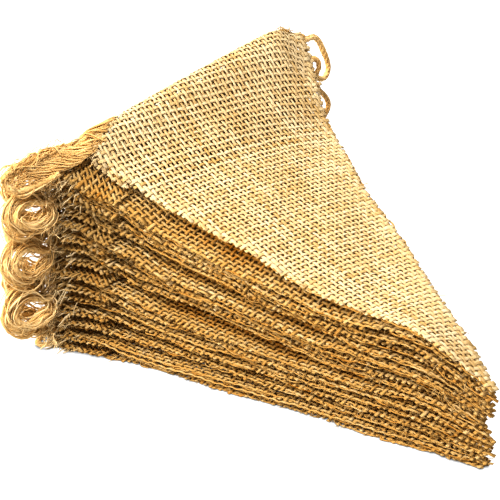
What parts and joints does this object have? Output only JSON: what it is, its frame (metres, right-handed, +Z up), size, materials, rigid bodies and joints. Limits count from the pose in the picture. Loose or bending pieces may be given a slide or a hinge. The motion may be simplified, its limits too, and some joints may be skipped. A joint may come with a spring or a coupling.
{
  "type": "fabric bunting",
  "caption": "Burlap bunting folded for storage: triangular pennants with folded headings, stacked, strung on a jute twine that turns in loops at both ends.",
  "frame": {"origin": "centre of the pennants' box in plan, on the surface that the stack lies on", "axes": "+X from the headings towards the tips, +Y along the headings, +Z up"},
  "size_m": [0.2316, 0.2128, 0.1416],
  "materials": {
    "burlap": "undyed open plain weave of jute yarn, matt",
    "jute_twine": "twisted jute twine, matt and hairy"
  },
  "bodies": {
    "root": {"pennant_01": "burlap", "pennant_02": "burlap", "pennant_03": "burlap", "pennant_04": "burlap", "pennant_05": "burlap", "pennant_06": "burlap", "pennant_07": "burlap", "pennant_08": "burlap", "pennant_09": "burlap", "pennant_10": "burlap", "pennant_11": "burlap", "pennant_12": "burlap", "pennant_13": "burlap", "pennant_14": "burlap", "pennant_15": "burlap", "pennant_16": "burlap", "heading_twine_01": "jute_twine", "heading_twine_02": "jute_twine", "heading_twine_03": "jute_twine", "heading_twine_04": "jute_twine", "heading_twine_05": "jute_twine", "heading_twine_06": "jute_twine", "heading_twine_07": "jute_twine", "heading_twine_08": "jute_twine", "heading_twine_09": "jute_twine", "heading_twine_10": "jute_twine", "heading_twine_11": "jute_twine", "heading_twine_12": "jute_twine", "heading_twine_13": "jute_twine", "heading_twine_14": "jute_twine", "heading_twine_15": "jute_twine", "heading_twine_16": "jute_twine", "twine_loop_01": "jute_twine", "twine_loop_02": "jute_twine", "twine_loop_03": "jute_twine", "twine_loop_04": "jute_twine", "twine_loop_05": "jute_twine", "twine_loop_06": "jute_twine", "twine_loop_07": "jute_twine", "twine_loop_08": "jute_twine", "twine_loop_09": "jute_twine", "twine_loop_10": "jute_twine", "twine_loop_11": "jute_twine", "twine_loop_12": "jute_twine", "twine_loop_13": "jute_twine", "twine_loop_14": "jute_twine", "twine_loop_15": "jute_twine", "twine_tail_top": "jute_twine", "twine_tail_bottom": "jute_twine"}
  },
  "joints": []
}
